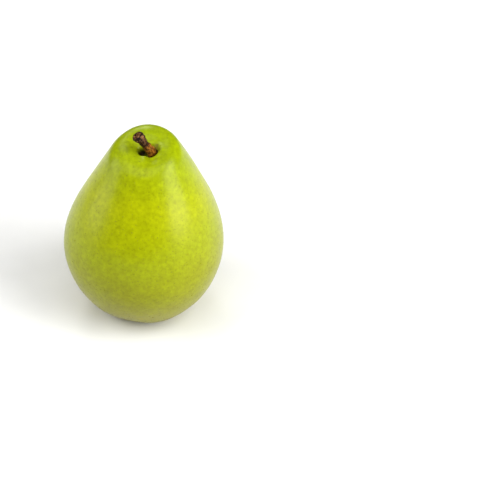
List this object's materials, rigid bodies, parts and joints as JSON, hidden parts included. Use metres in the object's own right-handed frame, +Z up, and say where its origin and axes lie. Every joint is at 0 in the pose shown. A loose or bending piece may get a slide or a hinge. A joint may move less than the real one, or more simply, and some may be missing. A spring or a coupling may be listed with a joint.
{
  "type": "pear",
  "caption": "Whole ripe green winter pear with a short woody stem leaning from its top cavity and a dry calyx in the basin underneath, standing upright on a small flat foot.",
  "frame": {"origin": "middle of the foot ring, on the surface the pear stands on", "axes": "+Z up the pear's axis towards the stem, +X to the right and +Y away when the stem leans to the left and towards the viewer"},
  "size_m": [0.0743, 0.0733, 0.1005],
  "materials": {
    "pear_skin": "satin",
    "stem_wood": "matte",
    "dry_sepal": "matte",
    "dry_stamen": "matte"
  },
  "bodies": {
    "root": {"fruit": "pear_skin", "stem": "stem_wood", "sepal_1": "dry_sepal", "sepal_2": "dry_sepal", "sepal_3": "dry_sepal", "sepal_4": "dry_sepal", "sepal_5": "dry_sepal", "stamen_tuft": "dry_stamen"}
  },
  "joints": []
}
